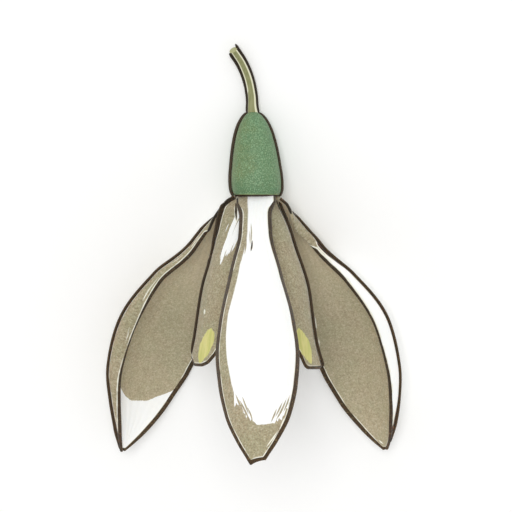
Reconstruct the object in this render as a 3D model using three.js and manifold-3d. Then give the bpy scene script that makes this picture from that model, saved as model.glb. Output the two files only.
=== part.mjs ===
// A snowdrop flower, picked and laid on its side: a curved green pedicel, the swollen green ovary
// below it, three long outer tepals spread wide, three shorter notched inner tepals in a cup
// between them, and inside the cup six pointed stamens round one style.
//
// Everything is in millimetres. The flower is built in its own frame: its axis is Y, with the
// pedicel at +Y and the tips of the tepals towards -Y, and its middle at the flat end of the
// ovary. The side that faces up once it lies down is +Z. Turns round the axis are counted from
// +Z towards +X. The last section lays it on the table, with +Z up.
import * as THREE from "three";
import { mergeVertices } from "three/addons/utils/BufferGeometryUtils.js";
import Module from "manifold-3d";

const wasm = await Module();
wasm.setup();

const degrees = Math.PI / 180;

// Driving dimensions.
const TEPAL_THICKNESS = 0.62;
const SEAT_GAP = 0.3; // between each piece and the one that carries it
const OVARY_HEIGHT = 8.55;
const OVARY_LEAN = 0.047; // sideways shift for each mm of height
const OUTER_ROOT_RADIUS = 2.25;
const INNER_ROOT_RADIUS = 1.4;
const DISC_RADIUS = 0.7; // the disc under the ovary that carries the stamens
const DISC_HEIGHT = 0.45;
const PRESSED_FLAT = 0.06; // how far the three low spots are flattened by the table

// Colours, as read from the picture.
const green = new THREE.MeshStandardMaterial({ color: 0x76936f, roughness: 0.55, metalness: 0 });
const olive = new THREE.MeshStandardMaterial({ color: 0x9b9b6e, roughness: 0.55, metalness: 0 });
const cream = new THREE.MeshStandardMaterial({ color: 0xd8d2bc, roughness: 0.6, metalness: 0 });
const beige = new THREE.MeshStandardMaterial({ color: 0xa69c7e, roughness: 0.6, metalness: 0 });
const orange = new THREE.MeshStandardMaterial({ color: 0xd9962e, roughness: 0.7, metalness: 0 });
const pale = new THREE.MeshStandardMaterial({ color: 0xdfe2c4, roughness: 0.6, metalness: 0 });

// The value at a place between knots [place, value], on a smooth curve that never overshoots.
function between(knots, place) {
  const last = knots.length - 2;
  const slope = (i) => (knots[i + 1][1] - knots[i][1]) / (knots[i + 1][0] - knots[i][0]);
  const lean = (i) => {
    if (i === 0) return slope(0);
    if (i > last) return slope(last);
    const before = slope(i - 1);
    const after = slope(i);
    return before * after > 0 ? (2 * before * after) / (before + after) : 0;
  };
  let k = 0;
  while (k < last && place >= knots[k + 1][0]) k += 1;
  const span = knots[k + 1][0] - knots[k][0];
  const t = (place - knots[k][0]) / span;
  return (
    (2 * t ** 3 - 3 * t ** 2 + 1) * knots[k][1] +
    (t ** 3 - 2 * t ** 2 + t) * span * lean(k) +
    (3 * t ** 2 - 2 * t ** 3) * knots[k + 1][1] +
    (t ** 3 - t ** 2) * span * lean(k + 1)
  );
}

function geometryFrom(positions, triangles) {
  const geometry = new THREE.BufferGeometry();
  geometry.setAttribute("position", new THREE.Float32BufferAttribute(positions, 3));
  geometry.setIndex(triangles);
  return geometry;
}

// A geometry as a solid that can be joined and cut, and such a solid as a geometry.
function solidOf(geometry) {
  const bare = geometry.clone();
  bare.deleteAttribute("normal");
  bare.deleteAttribute("uv");
  const merged = mergeVertices(bare, 1e-4);
  return new wasm.Manifold(
    new wasm.Mesh({
      numProp: 3,
      vertProperties: merged.attributes.position.array,
      triVerts: new Uint32Array(merged.index.array),
    }),
  );
}

function geometryOf(solid) {
  const { vertProperties, triVerts } = solid.getMesh();
  return geometryFrom(Array.from(vertProperties), Array.from(triVerts));
}

// A tepal is a blade on a curved midrib. Its knots run from 0 at the root to 1 at the tip:
//   heading    the midrib's slant away from the flower's axis, in degrees
//   halfWidth  from the midrib to the margin, along the blade, in mm
//   cup        how far the blade has turned inwards at its margins, in degrees
//   twist      the blade's turn about its midrib, in degrees
//   roll       the extra turn of one margin's outer strip, in degrees
// rollSide says which margin rolls and rollFrom where its strip starts, and reach gives how far
// down each lengthwise line goes, from margin -1 to margin 1.
const MIDRIB_STEPS = 60;
const SECTION_STEPS = 12;
const plainBlade = {
  twist: [[0, 0], [1, 0]],
  roll: [[0, 0], [1, 0]],
  rollSide: 1,
  rollFrom: 0.7,
  reach: [[-1, 1], [1, 1]],
};

function midrib(tepal) {
  const rootSlant = between(tepal.heading, 0) * degrees;
  const rootDrop = SEAT_GAP + (TEPAL_THICKNESS / 2) * Math.sin(rootSlant);
  const stations = [{ out: tepal.root, down: rootDrop }];
  const step = tepal.length / MIDRIB_STEPS;
  for (let i = 0; i < MIDRIB_STEPS; i += 1) {
    const slant = between(tepal.heading, (i + 0.5) / MIDRIB_STEPS) * degrees;
    const { out, down } = stations[i];
    stations.push({ out: out + Math.sin(slant) * step, down: down + Math.cos(slant) * step });
  }
  return stations;
}

// The middle surface's point at u along the midrib and v across it, for a tepal at +Z.
function bladePoint(tepal, stations, u, v) {
  const place = Math.min(u * MIDRIB_STEPS, MIDRIB_STEPS - 1e-6);
  const k = Math.floor(place);
  const out = THREE.MathUtils.lerp(stations[k].out, stations[k + 1].out, place - k);
  const down = THREE.MathUtils.lerp(stations[k].down, stations[k + 1].down, place - k);
  const slant = between(tepal.heading, u) * degrees;
  const twist = between(tepal.twist, u) * degrees;
  const cup = between(tepal.cup, u) * degrees;
  const roll = between(tepal.roll, u) * degrees;
  const step = (between(tepal.halfWidth, u) * v) / SECTION_STEPS;
  let across = 0;
  let inward = 0;
  for (let i = 0; i < SECTION_STEPS; i += 1) {
    const s = (v * (i + 0.5)) / SECTION_STEPS;
    const strip = Math.max(0, (s * tepal.rollSide - tepal.rollFrom) / (1 - tepal.rollFrom));
    const turn = cup * s + tepal.rollSide * roll * strip;
    across += Math.cos(turn) * step;
    inward += Math.sin(turn) * step;
  }
  const crossways = new THREE.Vector3(1, 0, 0);
  const outward = new THREE.Vector3(0, Math.sin(slant), Math.cos(slant));
  const point = new THREE.Vector3(0, -down, out);
  point.addScaledVector(crossways, across * Math.cos(twist) + inward * Math.sin(twist));
  point.addScaledVector(outward, across * Math.sin(twist) - inward * Math.cos(twist));
  return point;
}

// A closed blade: the same grid on both faces, split along the same diagonals, with a wall all
// round. Each face lies half the thickness from the middle surface.
const NORMAL_STEP = 0.02;

function bladeGeometry(tepal) {
  const { rows, columns } = tepal;
  const stations = midrib(tepal);
  const at = (i, j) => {
    const v = (2 * j) / columns - 1;
    return bladePoint(tepal, stations, (i / rows) * between(tepal.reach, v), v);
  };
  const normalAt = (i, j) => {
    const down = Math.min(i + NORMAL_STEP, rows);
    const right = Math.min(j + NORMAL_STEP, columns);
    const lengthways = at(down, j).sub(at(down - NORMAL_STEP, j));
    const crossways = at(i, right).sub(at(i, right - NORMAL_STEP));
    return lengthways.cross(crossways).normalize();
  };
  const positions = [];
  for (const faceSide of [1, -1]) {
    for (let i = 0; i <= rows; i += 1) {
      for (let j = 0; j <= columns; j += 1) {
        const offset = (faceSide * TEPAL_THICKNESS) / 2;
        positions.push(...at(i, j).addScaledVector(normalAt(i, j), offset).toArray());
      }
    }
  }
  const across = columns + 1;
  const second = (rows + 1) * across;
  const triangles = [];
  for (let i = 0; i < rows; i += 1) {
    for (let j = 0; j < columns; j += 1) {
      const a = i * across + j;
      const b = a + 1;
      const c = a + across;
      const d = c + 1;
      triangles.push(a, c, b, b, c, d);
      triangles.push(second + a, second + b, second + c, second + b, second + d, second + c);
    }
  }
  const rim = [];
  for (let j = 0; j < columns; j += 1) rim.push(j);
  for (let i = 0; i < rows; i += 1) rim.push(i * across + columns);
  for (let j = columns; j > 0; j -= 1) rim.push(rows * across + j);
  for (let i = rows; i > 0; i -= 1) rim.push(i * across);
  rim.forEach((a, k) => {
    const b = rim[(k + 1) % rim.length];
    triangles.push(a, b, second + a, b, second + b, second + a);
  });
  return geometryFrom(positions, triangles);
}

// A closed round body along a curve, with flat ends and its radius given by knots from 0 to 1.
function roundBody(curve, radiusKnots, rings, sides) {
  const frames = curve.computeFrenetFrames(rings, false);
  const positions = [];
  for (let i = 0; i <= rings; i += 1) {
    const centre = curve.getPointAt(i / rings);
    const radius = between(radiusKnots, i / rings);
    for (let j = 0; j < sides; j += 1) {
      const angle = (2 * Math.PI * j) / sides;
      const point = centre.clone();
      point.addScaledVector(frames.normals[i], Math.cos(angle) * radius);
      point.addScaledVector(frames.binormals[i], Math.sin(angle) * radius);
      positions.push(...point.toArray());
    }
  }
  const triangles = [];
  for (let i = 0; i < rings; i += 1) {
    for (let j = 0; j < sides; j += 1) {
      const a = i * sides + j;
      const b = i * sides + ((j + 1) % sides);
      triangles.push(a, b, a + sides, b, b + sides, a + sides);
    }
  }
  const top = rings * sides;
  for (let j = 1; j < sides - 1; j += 1) {
    triangles.push(0, j + 1, j, top, top + j, top + j + 1);
  }
  return geometryFrom(positions, triangles);
}

// The flower, as a group of named meshes.
const flower = new THREE.Group();

function add(name, geometry, material) {
  const mesh = new THREE.Mesh(geometry, material);
  mesh.name = name;
  flower.add(mesh);
  return mesh;
}

// The ovary: round, widest just above its flat end, drawn in to the pedicel at the top, and
// leaning a little to the left.
const ovaryProfile = [
  [0, 0], [1.5, 0], [2.2, 0.03], [2.52, 0.2], [2.7, 0.6], [2.77, 1.3], [2.74, 2.2], [2.62, 3.2],
  [2.44, 4.3], [2.2, 5.4], [1.88, 6.5], [1.48, 7.4], [1.04, 8.05], [0.64, 8.42], [0, OVARY_HEIGHT],
].map(([radius, height]) => new THREE.Vector2(radius, height));
const ovaryGeometry = new THREE.LatheGeometry(ovaryProfile, 30);
ovaryGeometry.applyMatrix4(new THREE.Matrix4().makeShear(0, 0, -OVARY_LEAN, 0, 0, 0));
add("ovary", ovaryGeometry, green);

// The pedicel: rises from the ovary, arches to the left and upwards, and is cut off.
const pedicelFoot = OVARY_HEIGHT + SEAT_GAP;
const pedicelLine = new THREE.CatmullRomCurve3([
  new THREE.Vector3(-OVARY_LEAN * pedicelFoot, pedicelFoot, 0),
  new THREE.Vector3(-0.48, 10.1, 0.1),
  new THREE.Vector3(-0.8, 11.7, 0.55),
  new THREE.Vector3(-1.42, 13.2, 1.4),
  new THREE.Vector3(-2.3, 14.5, 2.55),
]);
const pedicelRadius = [[0, 0.66], [0.15, 0.6], [0.6, 0.54], [1, 0.5]];
add("pedicel", roundBody(pedicelLine, pedicelRadius, 14, 12), olive);

// The outer tepals: a narrow claw, a broad spoon-shaped blade and a pointed tip. The one in
// front hangs straight. Those at the sides turn their hollow face up, and the upper margin of
// each rolls over. The claws stand in a ring at the rim of the ovary's flat end.
const outerTepal = {
  ...plainBlade,
  root: OUTER_ROOT_RADIUS,
  cup: [[0, 26], [0.08, 30], [0.35, 50], [0.7, 45], [1, 25]],
  rows: 28,
  columns: 12,
};
const outerTepals = {
  outer_tepal_front: {
    ...outerTepal,
    turn: 0,
    length: 29.7,
    heading: [[0, 54], [0.08, 52], [0.2, 42], [0.4, 35], [0.6, 24], [0.8, 16], [1, 16]],
    halfWidth: [[0, 1.75], [0.07, 1.32], [0.16, 1.42], [0.32, 2.74], [0.5, 4.08], [0.62, 4.48],
      [0.72, 4.22], [0.83, 3.3], [0.92, 1.9], [0.97, 0.95], [1, 0.4]],
    cup: [[0, 18], [0.08, 26], [0.35, 58], [0.7, 58], [1, 30]],
    twist: [[0, 4], [0.3, 0], [0.7, 4], [1, 10]],
  },
  outer_tepal_left: {
    ...outerTepal,
    turn: 237,
    length: 30,
    heading: [[0, 58], [0.08, 52], [0.2, 36.3], [0.4, 40.9], [0.6, 23.5], [0.8, 6.9], [1, 18.6]],
    halfWidth: [[0, 1.75], [0.07, 1.95], [0.15, 2.05], [0.35, 4.7], [0.55, 6.28], [0.7, 5.68],
      [0.82, 4.02], [0.92, 2.02], [0.97, 0.86], [1, 0.3]],
    twist: [[0, 0], [0.1, -4.6], [0.2, 3.7], [0.35, 27.1], [0.7, 19], [1, 20.7]],
    roll: [[0, 0], [0.06, 0], [0.12, 38.8], [0.22, 51.5], [0.35, 67.9], [0.55, 132], [0.75, 105],
      [0.9, 86], [1, 53]],
    cup: [[0, 0], [0.08, 24.7], [0.35, 57.5], [0.7, 45.3], [1, 37.8]],
  },
  outer_tepal_right: {
    ...outerTepal,
    turn: 123,
    length: 29.4,
    heading: [[0, 56], [0.08, 48], [0.2, 35.4], [0.4, 39.5], [0.6, 22.7], [0.8, 9.8], [1, 12.7]],
    halfWidth: [[0, 1.7], [0.07, 2], [0.15, 2.2], [0.35, 4.18], [0.55, 5.73], [0.7, 5.26],
      [0.82, 3.97], [0.92, 2.11], [0.97, 0.95], [1, 0.3]],
    twist: [[0, 0], [0.1, 8.8], [0.2, -11.8], [0.35, -29.3], [0.7, -20.6], [1, -20]],
    roll: [[0, 0], [0.06, 19.4], [0.12, 53.4], [0.22, 66.6], [0.35, 101], [0.55, 126], [0.75, 103.7],
      [0.9, 75.8], [1, 1.9]],
    rollFrom: 0.735,
    cup: [[0, 16.3], [0.08, 44.4], [0.35, 53.5], [0.7, 45.9], [1, 41.3]],
    rollSide: -1,
  },
};
for (const [name, tepal] of Object.entries(outerTepals)) {
  const mesh = add(name, bladeGeometry(tepal), name.endsWith("front") ? cream : beige);
  mesh.rotation.y = tepal.turn * degrees;
}

// The inner tepals: shorter and broader, curved round the axis so that the three make a cup,
// each with a notch in its lower edge. They stand inside the ring of claws. The notches of the
// two in front lie a little nearer the middle of the flower.
const innerTepal = {
  ...plainBlade,
  root: INNER_ROOT_RADIUS,
  length: 17.7,
  heading: [[0, 26], [0.07, 34], [0.18, 28.3], [0.45, 16.5], [0.7, 9.5], [1, 10.3]],
  halfWidth: [[0, 0.75], [0.1, 1.4], [0.2, 2.1], [0.3, 2.4], [0.55, 3.38], [0.8, 3.55], [1, 4.65]],
  cup: [[0, 25], [0.1, 35], [0.3, 46], [0.6, 46], [1, 44]],
  rows: 16,
  columns: 16,
};
const innerPlaces = {
  inner_tepal_left: { turn: 310, notchAt: 0.16 },
  inner_tepal_right: { turn: 36.5, notchAt: -0.16 },
  inner_tepal_back: { turn: 178, notchAt: 0 },
};
const LOBE_SPREAD = 0.44;
for (const [name, { turn, notchAt }] of Object.entries(innerPlaces)) {
  const reach = [
    [-1, 0.92], [-0.8, 0.98], [notchAt - LOBE_SPREAD, 1], [notchAt, 0.87],
    [notchAt + LOBE_SPREAD, 1], [0.8, 0.98], [1, 0.92],
  ];
  add(name, bladeGeometry({ ...innerTepal, reach }), cream).rotation.y = turn * degrees;
}

// The stamens: a small disc under the ovary, and six of them standing round on it, each a short
// filament and a long pointed anther, leaning together in a cone.
const STAMENS = 6;
const discFace = -SEAT_GAP - DISC_HEIGHT;
const discProfile = [
  [0, discFace], [DISC_RADIUS - 0.1, discFace], [DISC_RADIUS, discFace + 0.1],
  [DISC_RADIUS, -SEAT_GAP], [0, -SEAT_GAP],
].map(([radius, height]) => new THREE.Vector2(radius, height));
const stamenLine = new THREE.CatmullRomCurve3([
  new THREE.Vector3(0, -SEAT_GAP - 0.15, 0.5),
  new THREE.Vector3(0, -1.2, 0.72),
  new THREE.Vector3(0, -2.5, 1.06),
  new THREE.Vector3(0, -5, 1.1),
  new THREE.Vector3(0, -9, 0.6),
]);
const stamenRadius = [[0, 0.15], [0.13, 0.17], [0.25, 0.4], [0.38, 0.43], [0.7, 0.3], [1, 0.08]];
const stamen = roundBody(stamenLine, stamenRadius, 12, 8);
let stamens = solidOf(new THREE.LatheGeometry(discProfile, 24));
for (let i = 0; i < STAMENS; i += 1) {
  const placed = stamen.clone().rotateY((2 * Math.PI * (i + 0.5)) / STAMENS);
  stamens = stamens.add(solidOf(placed));
}
add("stamens", geometryOf(stamens), orange);

// The style: one slender rod that stands on the disc in the middle of the stamens.
const styleLine = new THREE.LineCurve3(
  new THREE.Vector3(0, discFace - SEAT_GAP, 0),
  new THREE.Vector3(0, -11, 0),
);
add("style", roundBody(styleLine, [[0, 0.16], [0.6, 0.28], [0.95, 0.2], [1, 0.1]], 8, 8), pale);

// Laying it down. It rests on three low spots: the ovary and the two side tepals. The flower
// leans back and rolls until all three are equally low.
const ARM_LENGTH = 20; // from the ovary's low spot to the tepals', along the axis
const ARM_WIDTH = 16; // from one tepal's low spot to the other's
const SETTLING_STEPS = 30;

function lowest(name) {
  return new THREE.Box3().setFromObject(flower.getObjectByName(name), true).min.z;
}

let leanBack = 15 * degrees;
let rollOver = 0;
for (let i = 0; i < SETTLING_STEPS; i += 1) {
  flower.rotation.set(-leanBack, rollOver, 0);
  flower.updateMatrixWorld(true);
  const left = lowest("outer_tepal_left");
  const right = lowest("outer_tepal_right");
  leanBack += (lowest("ovary") - (left + right) / 2) / ARM_LENGTH;
  rollOver += (right - left) / ARM_WIDTH;
}

// The origin is the middle of its foot on the table.
const extent = new THREE.Box3().setFromObject(flower, true);
flower.position.x = -(extent.min.x + extent.max.x) / 2;
flower.position.y = -(extent.min.y + extent.max.y) / 2;
flower.position.z = -extent.min.z - PRESSED_FLAT;

const snowdrop = new THREE.Group();
snowdrop.add(flower);
snowdrop.updateMatrixWorld(true);

// The table presses each low spot flat.
const TABLE_SIZE = 80;
for (const mesh of flower.children) {
  if (lowest(mesh.name) < 0) {
    const table = new THREE.BoxGeometry(TABLE_SIZE, TABLE_SIZE, TABLE_SIZE);
    table.translate(0, 0, -TABLE_SIZE / 2).applyMatrix4(mesh.matrixWorld.clone().invert());
    mesh.geometry = geometryOf(solidOf(mesh.geometry).subtract(solidOf(table)));
  }
  mesh.geometry.computeVertexNormals();
}

export default snowdrop;
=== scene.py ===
# A snowdrop flower, picked and laid on its side on a pale table, seen from above. It has the look
# of a tinted ink drawing: white tepals with beige painted shade, a green ovary, and a fine brown line
# round each.
import math

import bpy
import numpy as np
from mathutils import Matrix


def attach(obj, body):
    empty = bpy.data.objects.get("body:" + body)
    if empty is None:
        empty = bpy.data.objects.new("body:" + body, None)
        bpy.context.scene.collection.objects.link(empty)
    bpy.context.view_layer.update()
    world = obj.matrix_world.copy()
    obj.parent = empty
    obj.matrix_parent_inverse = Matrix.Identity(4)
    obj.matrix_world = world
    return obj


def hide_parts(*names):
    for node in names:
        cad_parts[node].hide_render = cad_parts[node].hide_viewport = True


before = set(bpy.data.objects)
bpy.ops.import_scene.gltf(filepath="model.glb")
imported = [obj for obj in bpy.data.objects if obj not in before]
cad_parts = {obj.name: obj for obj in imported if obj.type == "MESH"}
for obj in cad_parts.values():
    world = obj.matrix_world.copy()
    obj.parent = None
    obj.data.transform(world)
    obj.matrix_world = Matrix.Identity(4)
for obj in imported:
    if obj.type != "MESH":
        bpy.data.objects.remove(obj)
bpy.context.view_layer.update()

# How the flower lies. The style stands on its axis and the front tepal is its top side, so these
# two give the flower's own frame, in mm: the middle of the ovary's flat end, X to the right, Y
# towards the pedicel, Z up. Every piece below is shaped in that frame and then laid down.
MM = 0.001
STYLE_FOOT = 1.05  # how far the style's foot is below the ovary's flat end


def node_points(node):
    """The corners of a solid, each once, in mm."""
    points = np.array([vertex.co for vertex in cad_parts[node].data.vertices]) / MM
    return np.unique(points.round(4), axis=0)


def unit(vectors):
    """The vectors, made 1 long."""
    return vectors / np.linalg.norm(vectors, axis=-1, keepdims=True)


style_points = node_points("style")
ovary_middle = node_points("ovary").mean(0)
rod = np.linalg.svd(style_points - style_points.mean(0))[2][0]
rod *= np.sign((ovary_middle - style_points.mean(0)) @ rod)
heights = style_points @ rod
style_foot = style_points[heights > heights.max() - 0.01].mean(0)
style_tip = style_points[heights < heights.min() + 0.01].mean(0)
AXIS = unit(style_foot - style_tip)
MIDDLE = style_foot + AXIS * STYLE_FOOT
towards_front = node_points("outer_tepal_front").mean(0) - MIDDLE
TOP = unit(towards_front - (towards_front @ AXIS) * AXIS)
RIGHT = np.cross(AXIS, TOP)
EYE = np.array([-0.05, -5.9, 284.4])  # where the flower is seen from


def laid(points):
    """Points of the flower's frame as they lie on the table, in mm."""
    return MIDDLE + np.asarray(points) @ np.array([RIGHT, AXIS, TOP])


# The ovary: the swollen green seed case above the tepals, one fleshy bell with a flat end. It is
# widest near that end and leans a little to the left, with a brown line up each side and round the
# flat end. Its skin is finely speckled, more olive on the left and darker near the tepals.
OVARY_HEIGHT = 8.55
OVARY_LEAN = 0.041  # sideways shift for each mm of height
OVARY_RINGS = 150
OVARY_SIDES = 144
DARKER_BELOW = 2.2  # the height up to which the skin is darker
FLAT_END = 0.02  # the height up to which it counts as flat
SHOULDER = 0.6  # the radius at which the side lines end, where the pedicel begins
SIDE_INK = 0.16  # how far the brown reaches to either side of a side line
FLAT_END_INK = 0.2  # how far up it reaches round the flat end
LINE_DEPTHS = (0.34, 0.26)  # how far the left and the right side line stand out of the skin
LINE_FLATTENING = 0.5  # of their thickness to their depth
LINE_TAPER = 0.35  # the length over which any line thins out at its ends
LINE_TIP = 0.25  # the share of its radius that is left there
CURVE_STEPS = 40  # between two points of a curve
ASKEW = (0.31, 0.17, 0.93)  # a direction that no line takes
GRAIN_DEPTH = 0.03  # of the fine relief of every skin
TABLE_GAP = 0.004  # between the lowest skin and the table


class Shape:
    """Points in the flower's frame, the faces between them, and fields of values on the points."""

    def __init__(self, points, faces, **fields):
        self.points = np.asarray(points, float)
        self.faces = [tuple(int(i) for i in face) for face in faces]
        self.fields = {name: np.asarray(values, float) for name, values in fields.items()}

    def __add__(self, other):
        count = len(self.points)
        fields = {}
        for name in {**self.fields, **other.fields}:
            known = self.fields.get(name, other.fields.get(name))
            parts = []
            for shape in (self, other):
                plain = np.zeros((len(shape.points),) + known.shape[1:])
                parts.append(shape.fields.get(name, plain))
            fields[name] = np.concatenate(parts)
        faces = self.faces + [tuple(i + count for i in face) for face in other.faces]
        return Shape(np.concatenate([self.points, other.points]), faces, **fields)


def eased(t, start, leave, end, arrive):
    """Values on the way from start to end, at t from 0 to 1, with the slopes at both given."""
    return (
        (2 * t**3 - 3 * t**2 + 1) * start
        + (t**3 - 2 * t**2 + t) * leave
        + (3 * t**2 - 2 * t**3) * end
        + (t**3 - t**2) * arrive
    )


def through(points, count):
    """count points, evenly spaced on a smooth curve through the given ones."""
    points = np.array(points, float)
    first = 2 * points[0] - points[1]
    last = 2 * points[-1] - points[-2]
    points = np.vstack([first, points, last])
    fine = []
    t = np.linspace(0, 1, CURVE_STEPS)[:, None]
    for a, b, c, d in zip(points, points[1:], points[2:], points[3:]):
        ab, bc, cd = (math.sqrt(math.dist(p, q)) for p, q in ((a, b), (b, c), (c, d)))
        leave = ((b - a) / ab - (c - a) / (ab + bc) + (c - b) / bc) * bc
        arrive = ((c - b) / bc - (d - b) / (bc + cd) + (d - c) / cd) * bc
        fine.append(eased(t, b, leave, c, arrive))
    fine = np.concatenate(fine)
    steps = np.linalg.norm(np.diff(fine, axis=0), axis=1)
    fine = fine[np.concatenate([[True], steps > 1e-9])]
    run = np.concatenate([[0], np.cumsum(np.linalg.norm(np.diff(fine, axis=0), axis=1))])
    places = np.linspace(0, run[-1], count)
    return np.stack([np.interp(places, run, column) for column in fine.T], 1)


def ring_faces(rings, sides):
    """The faces between rings of points, ring by ring."""
    faces = []
    for i in range(rings - 1):
        for j in range(sides):
            a, b = i * sides + j, i * sides + (j + 1) % sides
            faces.append((a, b, b + sides, a + sides))
    return faces


def tube(line, radii, sides=10, **fields):
    """A closed round body along a line, one radius for each of its points."""
    line = np.asarray(line, float)
    radii = np.broadcast_to(radii, len(line))
    heading = unit(np.gradient(line, axis=0))
    across = unit(np.cross(heading[0], ASKEW))
    angles = 2 * np.pi * np.arange(sides) / sides
    points = []
    for middle, radius, ahead in zip(line, radii, heading):
        across = unit(across - (across @ ahead) * ahead)
        beside = np.cross(ahead, across)
        ring = np.outer(np.cos(angles), across) + np.outer(np.sin(angles), beside)
        points.append(middle + ring * radius)
    faces = ring_faces(len(line), sides)
    faces.append(tuple(range(sides))[::-1])
    faces.append(tuple(range((len(line) - 1) * sides, len(line) * sides)))
    count = len(line) * sides
    spread = {name: np.full(count, value) for name, value in fields.items()}
    return Shape(np.concatenate(points), faces, **spread)


def cord(line, radius):
    """A brown line, as a fine cord that thins out at its ends."""
    steps = np.linalg.norm(np.diff(line, axis=0), axis=1)
    run = np.concatenate([[0], np.cumsum(steps)])
    taper = np.clip(np.minimum(run, run[-1] - run) / LINE_TAPER, 0, 1)
    return tube(line, radius * (LINE_TIP + (1 - LINE_TIP) * np.sqrt(taper)), ink=-1)


def placed(name, data):
    """A new object in the scene."""
    thing = bpy.data.objects.new(name, data)
    bpy.context.scene.collection.objects.link(thing)
    return thing


def make(name, shape, finish, node):
    """The shape as an object, laid down, that stands for a solid."""
    world = laid(shape.points)
    world[:, 2] = np.maximum(world[:, 2], TABLE_GAP)
    mesh = bpy.data.meshes.new(name)
    mesh.from_pydata((world * MM).tolist(), [], shape.faces)
    for field_name, values in shape.fields.items():
        if values.ndim == 1:
            layer = mesh.attributes.new(field_name, "FLOAT", "POINT")
            layer.data.foreach_set("value", values)
        else:
            layer = mesh.attributes.new(field_name, "FLOAT_VECTOR", "POINT")
            layer.data.foreach_set("vector", values.ravel())
    mesh.shade_smooth()
    mesh.materials.append(finish)
    piece = placed(name, mesh)
    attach(piece, "root")
    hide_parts(node)


class Wire:
    """A node's output in a material. An expression on it adds Math nodes."""

    def __init__(self, tree, socket=None):
        self.tree = tree
        self.socket = socket

    def node(self, kind, settings, inputs, output=0):
        made = self.tree.nodes.new(kind)
        for setting, value in settings.items():
            setattr(made, setting, value)
        for place, value in inputs.items():
            if isinstance(value, Wire):
                self.tree.links.new(value.socket, made.inputs[place])
            else:
                made.inputs[place].default_value = value
        return Wire(self.tree, made.outputs[output])

    def math(self, operation, first, second):
        return self.node("ShaderNodeMath", {"operation": operation}, {0: first, 1: second})

    def __add__(self, other):
        return self.math("ADD", self, other)

    def __sub__(self, other):
        return self.math("SUBTRACT", self, other)

    def __rsub__(self, other):
        return self.math("SUBTRACT", other, self)

    def __mul__(self, other):
        return self.math("MULTIPLY", self, other)

    __radd__ = __add__
    __rmul__ = __mul__

    def above(self, level, soft):
        """0 below the level and 1 above it, with a soft step between."""
        limits = {0: self, 1: level - soft, 2: level + soft}
        return self.node("ShaderNodeMapRange", {"interpolation_type": "SMOOTHSTEP"}, limits)

    def stretched(self, x, y, z):
        factors = {0: self, 1: (x, y, z)}
        return self.node("ShaderNodeVectorMath", {"operation": "MULTIPLY"}, factors)

    def noise(self, scale, detail=2.0, roughness=0.5):
        sockets = {"Vector": self, "Scale": scale, "Detail": detail, "Roughness": roughness}
        return self.node("ShaderNodeTexNoise", {}, sockets)

    def choose(self, plain, other):
        """A colour: plain where this is 0, other where it is 1."""
        return self.node("ShaderNodeMix", {"data_type": "RGBA"}, {0: self, 6: plain, 7: other}, 2)


def field(tree, name, output=2):
    """A field of the mesh: its single value, or with output 1 its vector."""
    return Wire(tree).node("ShaderNodeAttribute", {"attribute_name": name}, {}, output)


def colour(red, green, blue):
    """A colour of the screen, from 0 to 255, as the shader takes it."""
    channels = np.array([red, green, blue]) / 255
    light = np.where(channels > 0.04045, ((channels + 0.055) / 1.055) ** 2.4, channels / 12.92)
    return (*light.tolist(), 1.0)


def finish_of(name, paint, **constants):
    """A material. paint takes its tree and gives its colour, roughness and height."""
    material = bpy.data.materials.new(name)
    material.use_nodes = True
    tree = material.node_tree
    shader = tree.nodes["Principled BSDF"]
    for socket, value in constants.items():
        shader.inputs[socket.replace("_", " ")].default_value = value
    skin, roughness, height = paint(tree)
    depth = {"Height": height, "Strength": 0.6, "Distance": GRAIN_DEPTH * MM}
    bump = height.node("ShaderNodeBump", {}, depth)
    tree.links.new(skin.socket, shader.inputs["Base Color"])
    tree.links.new(roughness.socket, shader.inputs["Roughness"])
    tree.links.new(bump.socket, shader.inputs["Normal"])
    return material


INK_BROWN = colour(44, 34, 19)
INK_WORN = colour(80, 70, 48)
PALE_EDGE = colour(240, 237, 220)
OVARY_GREEN = colour(104, 135, 99)
OVARY_DARK = colour(83, 117, 82)
OVARY_LIGHT = colour(138, 170, 132)
OVARY_OLIVE = colour(110, 129, 87)
OVARY_EDGE = colour(142, 166, 116)


def inked(tree, skin, place, pale_width, pale_colour=PALE_EDGE):
    """The skin with its brown lines, worn in spots, and the thin pale edge beside them."""
    ink = field(tree, "ink")
    wear = place.noise(5.0, 3.0)
    wobble = (place.noise(1.1) - 0.5) * 0.1
    pale = (pale_width - (ink + wobble)).above(0, 0.03) * place.noise(0.45).above(0.44, 0.06)
    brown = wear.above(0.62, 0.08).choose(INK_BROWN, INK_WORN)
    line = (wobble * 0.4 - ink).above(0, 0.02)
    return line.choose(pale.choose(skin, pale_colour), brown)


def ovary_paint(tree):
    place = field(tree, "place", 1)
    side = field(tree, "side")
    broad = place.noise(0.55)
    speckle = place.noise(7.5, 3.0, 0.6)
    olive = (broad * 1.6 - side * 0.6).above(1.0, 0.35)
    skin = olive.choose(OVARY_GREEN, OVARY_OLIVE)
    skin = (field(tree, "low") * 0.9).choose(skin, OVARY_DARK)
    skin = (speckle.above(0.58, 0.07) * 0.8).choose(skin, OVARY_LIGHT)
    skin = ((1 - speckle).above(0.56, 0.07) * 0.8).choose(skin, OVARY_DARK)
    return inked(tree, skin, place, 0.06, OVARY_EDGE), 0.45 + speckle * 0.25, speckle


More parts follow.
